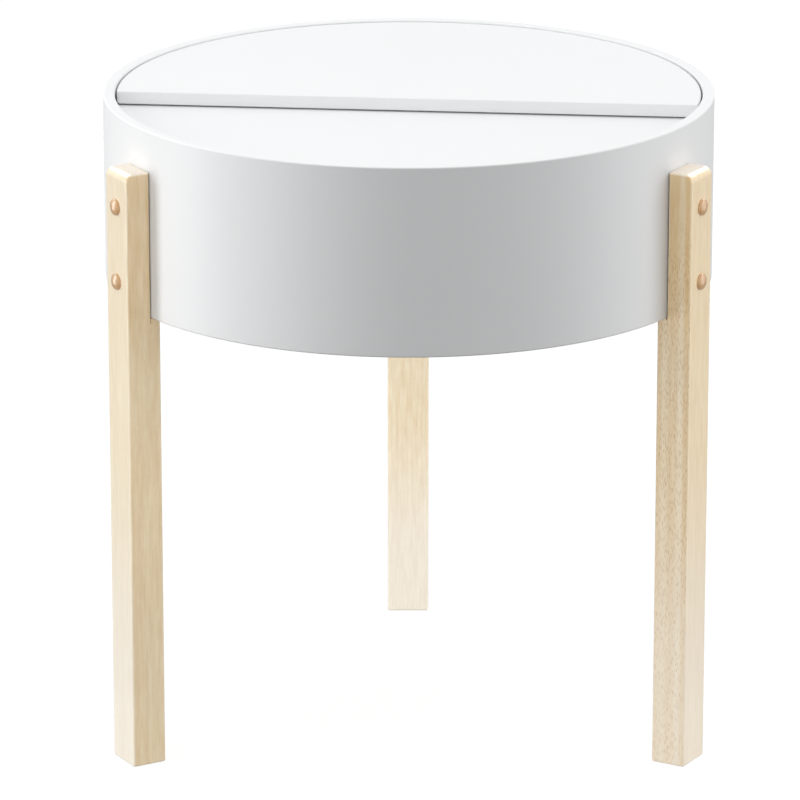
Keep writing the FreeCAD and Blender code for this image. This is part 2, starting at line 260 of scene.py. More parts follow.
class Value:
    """A number that varies over a surface. Sums written on it become Math nodes."""

    def __init__(self, shading, socket):
        self.shading = shading
        self.socket = socket

    def maths(self, operation, *numbers):
        """A Math node on one or two numbers, plain or varying."""
        sockets = dict(zip(("Value", "Value_001"), numbers))
        return self.shading.node("ShaderNodeMath", {"operation": operation}, sockets, "Value")

    def __add__(self, other):
        return self.maths("ADD", self, other)

    def __radd__(self, other):
        return self.maths("ADD", other, self)

    def __sub__(self, other):
        return self.maths("SUBTRACT", self, other)

    def __rsub__(self, other):
        return self.maths("SUBTRACT", other, self)

    def __mul__(self, other):
        return self.maths("MULTIPLY", self, other)

    def __rmul__(self, other):
        return self.maths("MULTIPLY", other, self)

    def __abs__(self):
        return self.maths("ABSOLUTE", self)


class Shading:
    """The nodes of a material or of the room around the table."""

    def __init__(self, owner):
        owner.use_nodes = True
        self.owner = owner
        self.tree = owner.node_tree
        self.shader = self.tree.nodes.get("Principled BSDF") or self.tree.nodes["Background"]

    def node(self, kind, settings, sockets, result):
        """Add a node, with its settings first and then the values or links of its sockets."""
        made = self.tree.nodes.new(kind)
        for key, value in settings.items():
            if key == "stops":
                self.set_stops(made.color_ramp, value)
            else:
                setattr(made, key, value)
        inputs = {socket.identifier: socket for socket in made.inputs}
        for key, value in sockets.items():
            self.fill(inputs[key], value)
        return Value(self, next(socket for socket in made.outputs if socket.identifier == result))

    def set_stops(self, ramp, stops):
        """Give a colour ramp its stops, pairs of a place from 0 to 1 and a colour."""
        while len(ramp.elements) < len(stops):
            ramp.elements.new(1.0)
        for element, (place, tint) in zip(ramp.elements, stops):
            element.position = place
            element.color = (*tint, 1.0)

    def fill(self, socket, value):
        """Link a varying value to a socket, or set a plain one."""
        if isinstance(value, Value):
            self.tree.links.new(value.socket, socket)
        elif socket.type == "RGBA":
            socket.default_value = (*value, 1.0)
        else:
            socket.default_value = value

    def finish(self, sockets):
        """Fill the shader's own sockets, and give back the finished material or room."""
        for key, value in sockets.items():
            self.fill(self.shader.inputs[key], value)
        return self.owner

    def point(self):
        """Where a point of the surface lies in the frame."""
        return self.node("ShaderNodeTexCoord", {}, {}, "Object")

    def part(self, vector, axis):
        """One coordinate of a vector."""
        return self.node("ShaderNodeSeparateXYZ", {}, {"Vector": vector}, axis)

    def mapped(self, point, scale=(1, 1, 1), turn=0.0, shift=(0, 0, 0)):
        """A point scaled, turned about the vertical and then shifted."""
        sockets = {"Vector": point, "Scale": scale, "Rotation": (0, 0, turn), "Location": shift}
        return self.node("ShaderNodeMapping", {}, sockets, "Vector")

    def noise(self, point, per_metre=1.0, detail=2.0):
        """Soft random tone from 0 to 1."""
        return self.node(
            "ShaderNodeTexNoise", {}, {"Vector": point, "Scale": per_metre, "Detail": detail}, "Fac")

    def cells(self, point, result):
        """A point's distance to the middle of its cell, or the cell's own colour."""
        return self.node("ShaderNodeTexVoronoi", {}, {"Vector": point, "Scale": 1.0}, result)

    def step(self, value, low, high):
        """A smooth step from 0 at one value to 1 at another."""
        return self.node(
            "ShaderNodeMapRange", {"interpolation_type": "SMOOTHSTEP"},
            {"Value": value, "From Min": low, "From Max": high}, "Result")

    def mix(self, share, first, second):
        """A colour between two, by a share of the second, or past them."""
        return self.node(
            "ShaderNodeMix", {"data_type": "RGBA", "clamp_factor": False},
            {"Factor_Float": share, "A_Color": first, "B_Color": second}, "Result_Color")

    def dim(self, tint, factor):
        """A colour times a number."""
        return self.node(
            "ShaderNodeVectorMath", {"operation": "SCALE"}, {"Vector": tint, "Scale": factor}, "Vector")

    def bump(self, height, depth, strength):
        """A surface raised by a height from 0 to 1, times a depth."""
        return self.node(
            "ShaderNodeBump", {}, {"Height": height, "Distance": depth, "Strength": strength}, "Normal")


def finish_named(name, build, *details):
    """The finish of that name, built when it is first asked for."""
    made = bpy.data.materials.get(name)
    if made is None:
        made = build(Shading(bpy.data.materials.new(name)), bpy.context.scene.end_table_finish, *details)
    return made


def satin_lacquer(shading, colours):
    """Sprayed white lacquer: nearly even, with a faint orange peel."""
    point = shading.point()
    cloud = shading.noise(point, per_metre=5.0)
    peel = shading.noise(point, per_metre=420.0, detail=1.0)
    speck = shading.noise(point, per_metre=1800.0, detail=1.0)
    return shading.finish({
        "Base Color": shading.dim(colours.lacquer, 0.985 + 0.03 * cloud),
        "Roughness": 0.36 + 0.08 * cloud + 0.05 * speck,
        "Specular IOR Level": 0.45,
        "Normal": shading.bump(peel + 0.3 * speck, depth=0.0002, strength=0.12)})


def matt_board(shading, colours):
    """Thin matt coating through which the fibres of the board show a little."""
    point = shading.point()
    cloud = shading.noise(point, per_metre=14.0, detail=3.0)
    fibre = shading.noise(point, per_metre=1400.0, detail=3.0)
    return shading.finish({
        "Base Color": shading.dim(colours.board, 0.93 + 0.06 * cloud + 0.06 * fibre),
        "Roughness": 0.58 + 0.12 * fibre,
        "Normal": shading.bump(fibre, depth=0.00015, strength=0.25)})


# Growth layers of each leg from its inner face to its outer one, as shares of heartwood
LEG_LAYERS = {
    "rear": ((0.0, 0.25), (0.1, 0.35), (0.5, 0.15), (0.9, 0.35), (0.97, 0.1)),
    "left": (
        (0.0, 0.35), (0.12, 0.55), (0.4, 0.5), (0.52, 0.43), (0.64, 0.58), (0.93, 0.62), (0.97, 0.06)),
    "right": (
        (0.0, 0.8), (0.13, 0.72), (0.2, 0.45), (0.33, 0.45), (0.42, 0.78), (0.6, 0.7), (0.69, 0.28),
        (0.79, 0.28), (0.85, 0.92), (0.94, 0.92), (0.97, 0.5)),
}

# How much the pores show in the sides of each leg
LEG_PORES = {"rear": 0.12, "left": 0.15, "right": 1.0}

# How strongly the fibres show in the outer faces, and in the sides of each leg
OUTER_FIGURE = 0.65
LEG_FIGURES = {"rear": 1.3, "left": 0.95, "right": 0.6}

# Painted light from the floor: where each leg starts to get paler towards its foot, as a share of the
# height under the drum, and how much paler its sides and its outer face are there
LEG_FOOT_LIGHT = {"rear": (0.5, 0.65, 0.65), "left": (0.75, 0.0, 0.6), "right": (0.75, 0.45, 0.5)}

# Where a leg is as pale as it gets from that painted light, as a share of the height where that starts
FADE_END = 0.27

# How much brighter the sides of each leg are at the foot than under the drum, or darker below 0:
# painted light, and painted shade below 0
LEG_PAINTED_SLOPES = {"rear": 0.0, "left": -0.16, "right": 0.09}

# Marks in the wood per metre, both ways across a leg and then along it
DRIFT_SCALE = (60, 60, 2.2)
STREAK_SCALE = (240, 240, 5)
FIBRE_SCALE = (430, 430, 46)
PATCH_SCALE = (90, 90, 22)
PORE_SCALE = (1500, 1500, 185)

# How far along the board each leg is cut, for each radian of its turn about the axis
BOARD_SHIFT = 7.3

# How far the layers wander, as a share of a leg's depth
LAYER_WANDER = 0.1

# How much warmer the streaks are, and how much darker whatever is warmer by 1
STREAK_FIGURE = 0.35
FIGURE_SHADE = 0.1

# How much warmer the sides are beside the drum, and how much paler the top end is
SEAT_WARMTH = 0.25
END_PALENESS = 0.6

# Where a pore ends in its cell, where it sets in by the tone of its patch, how much the faintest one
# shows, and how much fainter all are at the foot
PORE_EDGE = (0.2, 0.42)
PATCH_EDGE = (0.1, 0.45)
FAINTEST_PORE = 0.15
PORE_FADE = 0.4

# Half the width of the change from a leg's sides to its outer face
ARRIS = 0.0006

# Heights over which the sides get warmer beside the drum, the pores fade, and the end grain sets in
SEAT_HEIGHTS = (0.85 * DRUM_BASE, 1.1 * DRUM_BASE)
PORELESS_HEIGHTS = (0.8 * LEG_TOP, LEG_TOP)
END_GRAIN_HEIGHTS = (LEG_TOP - 0.0016, LEG_TOP - 0.0004)


def leg_pores(shading, board, height, in_side):
    """Short pores in the sides of a leg, in patches, each with its own tone."""
    cells = shading.mapped(board, PORE_SCALE)
    spot = 1 - shading.step(shading.cells(cells, "Distance"), *PORE_EDGE)
    tone = FAINTEST_PORE + (1 - FAINTEST_PORE) * shading.part(shading.cells(cells, "Color"), "X")
    patch = shading.step(shading.noise(shading.mapped(board, PATCH_SCALE)), *PATCH_EDGE)
    below_top = 1 - shading.step(height, *PORELESS_HEIGHTS)
    return spot * patch * in_side * below_top * tone


def rubberwood(shading, colours, side):
    """Pale wood of one leg: layers across its depth, long fibres, and short brown pores in its sides.

    Towards the foot the wood is painted paler as painted light from the floor. Its sides also get painted
    light and shade along their height.
    """
    turn = LEG_TURNS[side]
    to_leg = Matrix.Rotation(-turn, 3, "Z")
    point = shading.mapped(shading.point(), turn=-turn, shift=-(to_leg @ AXIS))
    board = shading.mapped(point, shift=(0, 0, BOARD_SHIFT * turn))
    height = shading.part(point, "Z")
    depth = (shading.part(point, "Y") - LEG_IN) * (1 / (LEG_OUT - LEG_IN))
    from_side = LEG_WIDTH / 2 - abs(shading.part(point, "X"))
    from_outer = LEG_OUT - shading.part(point, "Y")
    in_side = shading.step(from_outer - from_side, -ARRIS, ARRIS)
    above_seat = shading.step(height, *SEAT_HEIGHTS)
    at_end = shading.step(height, *END_GRAIN_HEIGHTS)
    start, side_foot_light, outer_foot_light = LEG_FOOT_LIGHT[side]
    to_foot = 1 - shading.step(height, FADE_END * start * DRUM_BASE, start * DRUM_BASE)

    drift = shading.noise(shading.mapped(board, DRIFT_SCALE))
    streak = shading.noise(shading.mapped(board, STREAK_SCALE), detail=3.0)
    fibre = shading.noise(shading.mapped(board, FIBRE_SCALE), detail=3.0)
    pore = leg_pores(shading, board, height, in_side)
    stops = [(place, (heart, heart, heart)) for place, heart in LEG_LAYERS[side]]
    layer = depth + LAYER_WANDER * (drift - 0.5)
    heart = shading.node("ShaderNodeValToRGB", {"stops": stops}, {"Fac": layer}, "Color")

    strength = OUTER_FIGURE + (LEG_FIGURES[side] - OUTER_FIGURE) * in_side
    figure = STREAK_FIGURE * (streak - 0.5) + strength * (fibre - 0.5)
    warmth = heart + figure + SEAT_WARMTH * above_seat * in_side
    layered = shading.mix(warmth, colours.sapwood, colours.heartwood)
    # Painted light from the floor: towards the foot the wood is mixed towards the end-grain colour
    painted_foot_light = to_foot * (outer_foot_light + (side_foot_light - outer_foot_light) * in_side)
    pale_end_and_foot_light = shading.mix(END_PALENESS * at_end + painted_foot_light, layered, colours.end_grain_and_foot_light)
    # Painted light and shade: the sides get brighter or darker towards the foot, leg by leg
    painted_slope = 1 + LEG_PAINTED_SLOPES[side] * (to_foot - 0.5) * in_side * (1 - above_seat)
    grained_and_painted = shading.dim(pale_end_and_foot_light, painted_slope * (1 - FIGURE_SHADE * figure))
    pore_share = LEG_PORES[side] * pore * (1 - PORE_FADE * to_foot)
    return shading.finish({
        "Base Color": shading.mix(pore_share, grained_and_painted, colours.pore),
        "Roughness": 0.38 + 0.1 * fibre + 0.2 * pore,
        "Specular IOR Level": 0.5,
        "Coat Weight": 0.8,
        "Coat Roughness": 0.12,
        "Normal": shading.bump(0.4 * fibre - pore, depth=0.0001, strength=0.25)})


# Marks in the plugs per metre, both ways on the level and then upwards
RING_SCALE = (900, 900, 260)


def dowel_wood(shading, colours):
    """Reddish turned wood with fine rings, under a clear lacquer."""
    point = shading.point()
    ring = shading.noise(shading.mapped(point, RING_SCALE), detail=3.0)
    fleck = shading.noise(point, per_metre=2600.0)
    return shading.finish({
        "Base Color": shading.dim(colours.dowel, 0.82 + 0.26 * ring + 0.1 * fleck),
        "Roughness": 0.34 + 0.1 * fleck,
        "Coat Weight": 1.0,
        "Coat Roughness": 0.08,
        "Normal": shading.bump(ring, depth=0.00008, strength=0.3)})


def zinc_plate(shading, colours):
    """Bright zinc, a little cloudy."""
    cloud = shading.noise(shading.point(), per_metre=600.0, detail=3.0)
    return shading.finish({
        "Base Color": shading.dim(colours.zinc, 0.9 + 0.2 * cloud),
        "Metallic": 1.0,
        "Roughness": 0.26 + 0.16 * cloud})


def pressed_felt(shading, colours):
    """Short pressed hairs."""
    hair = shading.noise(shading.point(), per_metre=5200.0, detail=3.0)
    return shading.finish({
        "Base Color": shading.dim(colours.felt, 0.7 + 0.6 * hair),
        "Roughness": 0.95,
        "Specular IOR Level": 0.1,
        "Normal": shading.bump(hair, depth=0.0002, strength=0.6)})


# Colours of the studio, which the user doesn't change
WHITE_LIGHT = (1.0, 1.0, 1.0)
SWEEP_GREY = (0.16, 0.16, 0.16)


def studio_white(shading, _):
    """Floor and sweep of the studio, lit to an even white."""
    grime = shading.noise(shading.point(), per_metre=0.8)
    return shading.finish({
        "Base Color": shading.dim(SWEEP_GREY, 0.98 + 0.04 * grime),
        "Roughness": 0.9,
        "Specular IOR Level": 0.0,
        "Emission Color": WHITE_LIGHT,
        "Emission Strength": 0.9})


def on_axis(turn=0.0):
    """From a place about the upright Z axis to the drum's axis, turned about it."""
    return Matrix.Translation(AXIS) @ Matrix.Rotation(turn, 4, "Z")


def in_leg(side, level):
    """From a place about the Z axis to a bolt's axis, which points out of the drum."""
    lift = Matrix.Translation((0, 0, BOLT_HEIGHTS[level]))
    return on_axis(LEG_TURNS[side]) @ lift @ Matrix.Rotation(-math.pi / 2, 4, "X")


def section(bm, points, closed=True):
    """Lines through points of radius and height, to be turned about the Z axis."""
    verts = [bm.verts.new((radius, 0, height)) for radius, height in points]
    for start, end in zip(verts, verts[1:] + verts[:1] if closed else verts[1:]):
        bm.edges.new((start, end))
    return verts


def turn_section(bm, steps):
    """Turn all the lines of a bmesh once about the Z axis into a closed skin."""
    bmesh.ops.spin(
        bm, geom=bm.verts[:] + bm.edges[:], cent=(0, 0, 0), axis=(0, 0, 1), dvec=(0, 0, 0),
        angle=math.tau, steps=steps, use_merge=True, use_duplicate=False)
    bmesh.ops.remove_doubles(bm, verts=bm.verts[:], dist=NEAR)
    bmesh.ops.recalc_face_normals(bm, faces=bm.faces[:])


def turned(points, steps):
    """A ring turned from a closed section, or a solid from one that starts and ends on the axis."""
    bm = bmesh.new()
    section(bm, points, closed=points[0][0] > 0)
    turn_section(bm, steps)
    return bm


def verts_of(items):
    """The vertices among what an operator gives back."""
    return [item for item in items if isinstance(item, bmesh.types.BMVert)]


def draw_out(bm, faces, offset):
    """Make a solid of flat faces by drawing them out along an offset."""
    drawn = bmesh.ops.extrude_face_region(bm, geom=faces)["geom"]
    bmesh.ops.translate(bm, vec=offset, verts=verts_of(drawn))
    bmesh.ops.recalc_face_normals(bm, faces=bm.faces[:])


def bevel(bm, edges, radius, segments):
    """Round edges by a radius, in so many segments."""
    if not edges:
        raise RuntimeError("no edge to round")
    bmesh.ops.bevel(
        bm, geom=edges, offset=radius, offset_type="OFFSET", segments=segments, profile=0.5,
        affect="EDGES", material=-1, clamp_overlap=True)


def round_edges(bm, chosen, radius, segments):
    """Round the edges whose two ends pass a test."""
    bevel(bm, [edge for edge in bm.edges if chosen(*(vert.co for vert in edge.verts))], radius, segments)


def same(first, second):
    """Whether two lengths are equal."""
    return abs(first - second) < NEAR


def along_ring(radius, height):
    """A test for edges that run round the Z axis at a radius and a height."""
    def chosen(*ends):
        return all(same(end.z, height) and same(end.xy.length, radius) for end in ends)
    return chosen


def make_mesh(bm, name, place):
    """Put a shaped bmesh in its place and make a mesh of it."""
    bmesh.ops.transform(bm, matrix=place, verts=bm.verts[:])
    mesh = bpy.data.meshes.new(name)
    bm.to_mesh(mesh)
    bm.free()
    return mesh


def add_object(name, data):
    """Put a mesh, a lamp or a camera into the scene."""
    made = bpy.data.objects.new(name, data)
    bpy.context.scene.collection.objects.link(made)
    return made


def cut_bores(piece, cutters):
    """Take the cutters' shapes out of a piece, and leave neither cutters nor modifier behind."""
    tool = add_object("bore_cutter", cutters)
    boolean = piece.modifiers.new("bores", "BOOLEAN")
    boolean.object = tool
    boolean.solver = "EXACT"
    depsgraph = bpy.context.evaluated_depsgraph_get()
    bored = bpy.data.meshes.new_from_object(piece.evaluated_get(depsgraph))
    solid = piece.data
    piece.modifiers.remove(boolean)
    piece.data = bored
    bpy.data.meshes.remove(solid)
    bpy.data.objects.remove(tool)
    bpy.data.meshes.remove(cutters)


def bore_cutters(points, sides):
    """Stepped cutters, turned from points of radius and distance, for both bolts of each leg."""
    cutters = bmesh.new()
    for side in sides:
        for level in BOLT_HEIGHTS:
            drill = make_mesh(turned(points, SMALL_STEPS), "drill", in_leg(side, level))
            cutters.from_mesh(drill)
            bpy.data.meshes.remove(drill)
    return make_mesh(cutters, "drills", Matrix())


def dress(piece, body, node, finish):
    """Shade a piece, give it its finish, and let it ride on a body in place of a node of the frame."""
    mesh = piece.data
    mesh.materials.clear()
    mesh.materials.append(finish)
    mesh.shade_smooth()
    mesh.set_sharp_from_angle(angle=SHARP_ANGLE)
    even = piece.modifiers.new("even_shading", "WEIGHTED_NORMAL")
    even.keep_sharp = True
    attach(piece, body)
    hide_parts(node)


class END_TABLE_OT_drum_wall(Operator):
    """Build the bent wall of the drum, with its rabbet and its bores for the nuts"""

    bl_idname = "end_table.drum_wall"
    bl_label = "Drum wall"

    def execute(self, context):
        sizes = context.scene.end_table_drum
        nuts = context.scene.end_table_fasteners
        inside = DRUM_RADIUS - sizes.wall
        rabbet = inside + sizes.rabbet
        bm = turned([
            (inside, PANEL_TOP), (inside, TABLE_TOP), (DRUM_RADIUS, TABLE_TOP), (DRUM_RADIUS, DRUM_BASE),
            (rabbet, DRUM_BASE), (rabbet, PANEL_TOP)], WIDE_STEPS)
        for radius, height in ((inside, TABLE_TOP), (DRUM_RADIUS, TABLE_TOP), (DRUM_RADIUS, DRUM_BASE)):
            round_edges(bm, along_ring(radius, height), sizes.rim_round, segments=4)
        piece = add_object("white_drum_wall", make_mesh(bm, "white_drum_wall", on_axis()))
        recess = FLANGE_RADIUS + nuts.fit
        bore = nuts.barrel + nuts.fit
        seat = inside + nuts.flange
        start = inside - sizes.wall
        end = DRUM_RADIUS + sizes.wall
        cut_bores(piece, bore_cutters([
            (0, start), (recess, start), (recess, seat), (bore, seat), (bore, end), (0, end)], LEG_TURNS))
        dress(piece, "drum", "drum_wall", finish_named("satin_lacquer", satin_lacquer))
        return {"FINISHED"}


class END_TABLE_OT_inner_boards(Operator):
    """Build the drum's floor, the ledge that carries the lower lid, and the runner behind that lid"""

    bl_idname = "end_table.inner_boards"
    bl_label = "Inner boards"

    def execute(self, context):
        sizes = context.scene.end_table_drum
        outside = reach_of("lid_ledge_ring")
        inside = outside - sizes.ledge
        shapes = {
            "bottom_panel": self.strip(0, reach_of("bottom_panel"), DRUM_BASE, PANEL_TOP),
            "lid_ledge_ring": self.strip(inside, outside, LEDGE_BASE, LEDGE_TOP),
            "lid_runner": self.strip(inside, outside, LEDGE_TOP, RUNNER_TOP),
        }
        self.cut_ends(shapes["lid_runner"])
        for node, bm in shapes.items():
            square = [edge for edge in bm.edges if edge.calc_face_angle(0.0) > SHARP_ANGLE]
            bevel(bm, square, sizes.board_round, segments=2)
            piece = add_object(f"white_{node}", make_mesh(bm, node, on_axis()))
            dress(piece, "drum", node, finish_named("matt_board", matt_board))
        return {"FINISHED"}

    def strip(self, inside, outside, base, top):
        """A ring of oblong section, or a disc where it has no inside."""
        return turned([(inside, base), (outside, base), (outside, top), (inside, top)], WIDE_STEPS)

    def cut_ends(self, bm):
        """Leave the part of a ring behind the runner's chord, with closed ends."""
        geometry = bm.verts[:] + bm.edges[:] + bm.faces[:]
        bmesh.ops.bisect_plane(
            bm, geom=geometry, dist=NEAR, plane_co=(0, RUNNER_CHORD, 0), plane_no=(0, 1, 0),
            clear_inner=True)
        bmesh.ops.holes_fill(bm, edges=[edge for edge in bm.edges if edge.is_boundary], sides=4)


class END_TABLE_OT_lids(Operator):
    """Build the two lids, each a little more than half a disc"""

    bl_idname = "end_table.lids"
    bl_label = "Lids"

    def execute(self, context):
        sizes = context.scene.end_table_lids
        for lid, turn in (("lower_lid", math.pi), ("upper_lid", sizes.turn)):
            place = on_axis(turn) @ Matrix.Translation((0, 0, LID_BASE[lid]))
            piece = add_object(f"white_{lid}", make_mesh(self.shape(sizes), lid, place))
            dress(piece, lid, lid, finish_named("satin_lacquer", satin_lacquer))
        return {"FINISHED"}

    def shape(self, sizes):
        """A lid lying on the ground with its straight edge in front of the Z axis."""
        bm = bmesh.new()
        half_chord = math.sqrt(LID_RADIUS ** 2 - sizes.reach ** 2)
        start = bm.verts.new((half_chord, -sizes.reach, 0))
        past_square = math.asin(sizes.reach / LID_RADIUS)
        bmesh.ops.spin(
            bm, geom=[start], cent=(0, 0, 0), axis=(0, 0, 1), dvec=(0, 0, 0),
            angle=math.pi + 2 * past_square, steps=WIDE_STEPS // 2, use_duplicate=False)
        board = bmesh.ops.contextual_create(bm, geom=bm.verts[:] + bm.edges[:])["faces"]
        draw_out(bm, board, (0, 0, LID_THICK))

        def at_corner(first, second):
            upright = not same(first.z, second.z)
            return upright and same(first.y, -sizes.reach) and same(abs(first.x), half_chord)

        def level(first, second):
            return same(first.z, second.z)

        round_edges(bm, at_corner, sizes.corner_round, segments=6)
        round_edges(bm, level, sizes.edge_round, segments=3)
        return bm


class END_TABLE_OT_glides(Operator):
    """Build the felt pads that the upper lid slides on"""

    bl_idname = "end_table.glides"
    bl_label = "Glides"

    def execute(self, context):
        for node in GLIDES:
            low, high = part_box(node)
            radius = (high.x - low.x) / 2
            rise = high.z - low.z
            bm = turned([(0, 0), (radius, 0), (radius, rise), (0, rise)], SMALL_STEPS)
            round_edges(bm, along_ring(radius, 0), GLIDE_ROUND * rise, segments=2)
            place = Matrix.Translation((*middle_of(node).xy, low.z))
            piece = add_object(f"felt_{node}", make_mesh(bm, node, place))
            dress(piece, "upper_lid", node, finish_named("pressed_felt", pressed_felt))
        return {"FINISHED"}


class END_TABLE_OT_legs(Operator):
    """Build the three notched legs, bored for their bolts"""

    bl_idname = "end_table.legs"
    bl_label = "Legs"

    def execute(self, context):
        sizes = context.scene.end_table_legs
        bolts = context.scene.end_table_fasteners
        start = LEG_IN - bolts.head
        seat = HEAD_FACE - bolts.head
        end = LEG_OUT + bolts.head
        bore_steps = [
            (0, start), (bolts.leg_bore, start), (bolts.leg_bore, seat), (bolts.counterbore, seat),
            (bolts.counterbore, end), (0, end)]
        for side, turn in LEG_TURNS.items():
            node = f"{side}_leg"
            bar = self.shape(sizes, *LEG_KERFS[side])
            piece = add_object(f"wooden_{node}", make_mesh(bar, node, on_axis(turn)))
            cut_bores(piece, bore_cutters(bore_steps, [side]))
            dress(piece, "drum", node, finish_named(f"rubberwood_{side}", rubberwood, side))
        return {"FINISHED"}

    def shape(self, sizes, kerf_width, kerf_depth):
        """A leg behind the Z axis, with the notch towards the axis and a saw cut in the notch's corner."""
        bm = bmesh.new()
        notch = DRUM_RADIUS + sizes.seat_gap
        kerf_end = DRUM_BASE - kerf_depth
        kerf_side = notch - kerf_width
        outline = [
            (LEG_IN, 0), (LEG_OUT, 0), (LEG_OUT, LEG_TOP), (notch, LEG_TOP), (notch, kerf_end),
            (kerf_side, kerf_end), (kerf_side, DRUM_BASE), (LEG_IN, DRUM_BASE)]
        half = LEG_WIDTH / 2
        profile = bm.faces.new([bm.verts.new((-half, radius, height)) for radius, height in outline])
        draw_out(bm, [profile], (LEG_WIDTH, 0, 0))

        def top_outer(*ends):
            return all(same(end.y, LEG_OUT) and same(end.z, LEG_TOP) for end in ends)

        def outer_arris(*ends):
            in_notch = all(end.y < notch + NEAR and end.z > kerf_end - NEAR for end in ends)
            on_side = same(ends[0].x, ends[1].x) and same(abs(ends[0].x), half)
            at_foot = all(same(end.z, 0) for end in ends)
            return at_foot or (on_side and not in_notch)

        def notch_arris(*ends):
            return all(same(end.y, notch) and same(abs(end.x), half) for end in ends)

        round_edges(bm, top_outer, sizes.top_round, segments=8)
        round_edges(bm, outer_arris, sizes.edge_round, segments=4)
        round_edges(bm, notch_arris, sizes.notch_round, segments=2)
        return bm


class END_TABLE_OT_plugs(Operator):
    """Build the domed wooden plugs that cover the bolts"""

    bl_idname = "end_table.plugs"
    bl_label = "Plugs"

    def execute(self, context):
        sizes = context.scene.end_table_fasteners
        for side, level in BOLTS:
            node = f"{side}_{level}_plug"
            mesh = make_mesh(self.shape(sizes), node, in_leg(side, level))
            piece = add_object(f"wooden_{node}", mesh)
            dress(piece, "drum", node, finish_named("dowel_wood", dowel_wood))
        return {"FINISHED"}

    def shape(self, sizes):
        """A plug on the Z axis, its height counted from the drum's axis."""
        bm = bmesh.new()
        rim = LEG_OUT + sizes.plug_side
        rise = PLUG_OUT - rim
        dome_radius = (PLUG_RADIUS ** 2 + rise ** 2) / (2 * rise)
        top = bm.verts.new((0, 0, PLUG_OUT))
        dome = bmesh.ops.spin(
            bm, geom=[top], cent=(0, 0, PLUG_OUT - dome_radius), axis=(0, 1, 0), dvec=(0, 0, 0),
            angle=math.asin(PLUG_RADIUS / dome_radius), steps=DOME_STEPS, use_duplicate=False)["geom_last"]
        edge = verts_of(dome)[0]
        side = section(bm, [
            (PLUG_RADIUS, LEG_OUT), (sizes.shank, LEG_OUT), (sizes.shank, PLUG_IN), (0, PLUG_IN)],
            closed=False)
        bm.edges.new((edge, side[0]))
        turn_section(bm, SMALL_STEPS)
        round_edges(bm, along_ring(PLUG_RADIUS, rim), sizes.plug_round, segments=3)
        return bm


class END_TABLE_OT_nuts(Operator):
    """Build the flanged sleeve nuts inside the wall"""

    bl_idname = "end_table.nuts"
    bl_label = "Nuts"

    def execute(self, context):
        sizes = context.scene.end_table_fasteners
        inside = DRUM_RADIUS - context.scene.end_table_drum.wall
        seat = inside + sizes.flange
        outline = [
            (sizes.thread, inside), (FLANGE_RADIUS, inside), (FLANGE_RADIUS, seat), (sizes.barrel, seat),
            (sizes.barrel, NUT_OUT), (sizes.thread, NUT_OUT)]
        for side, level in BOLTS:
            node = f"{side}_{level}_nut"
            bm = turned(outline, SMALL_STEPS)
            for radius in (sizes.thread, FLANGE_RADIUS):
                round_edges(bm, along_ring(radius, inside), sizes.break_edge, segments=3)
            piece = add_object(f"zinc_{node}", make_mesh(bm, node, in_leg(side, level)))
            dress(piece, "drum", node, finish_named("zinc_plate", zinc_plate))
        return {"FINISHED"}


class END_TABLE_OT_bolts(Operator):
    """Plate the socket-head bolts of the frame"""

    bl_idname = "end_table.bolts"
    bl_label = "Bolts"

    def execute(self, context):
        for side, level in BOLTS:
            materials = frame["nodes"][f"{side}_{level}_bolt"].data.materials
            materials.clear()
            materials.append(finish_named("zinc_plate", zinc_plate))
        return {"FINISHED"}


# The floor, the wall around it, and the curve between them
FLOOR_RADIUS = 14.0
SWEEP_HEIGHT = 8.0
SWEEP_ROUND = 4.0

# Width and height of the sheets in front of the lamps
NARROW_SHEET = (0.6, 2.2)
WIDE_SHEET = (1.5, 2.2)
TOP_SHEET = (2.2, 2.2)
GLOW_SHEET = (1.2, 1.2)
LOW_SHEET = (1.6, 0.4)
EDGE_SHEET = (1.1, 0.5)
PLUG_SHEET = (0.5, 2.0)

# Lamps beside the table: their place in front of the axis, and how far they are turned about it
BESIDE = Vector((0, -2.0, 0.55))
SIDE_ANGLE = math.radians(86)
LEFT_ANGLE = math.radians(55)
PLUG_ANGLE = math.radians(98)

# Places of the other lamps, and how deep the glow lies under the floor
TOP_LAMP = (0.0, 0.0, 2.3)
LOW_LAMP = (0.0, -2.4, 0.25)
EDGE_LAMPS = {"left": (-1.0, 1.0, 1.3), "right": (1.0, 1.0, 1.3)}
GLOW_DEPTH = 0.12

# How the names of the pieces start that a lamp may be kept to
ALL_BUT_WOOD = ("white_", "felt_", "zinc_")
WOOD = ("wooden_",)
FRONT_WOOD = ("wooden_left_", "wooden_right_")
REAR_WOOD = ("wooden_rear_",)
LEFT_PLUGS = tuple(f"wooden_left_{level}_plug" for level in BOLT_HEIGHTS)

# Half the stretch over which the light of the ceiling and of the backdrop sets in
ROOM_BLEND = 0.15

# How far the camera sees
VIEW_END = 100.0


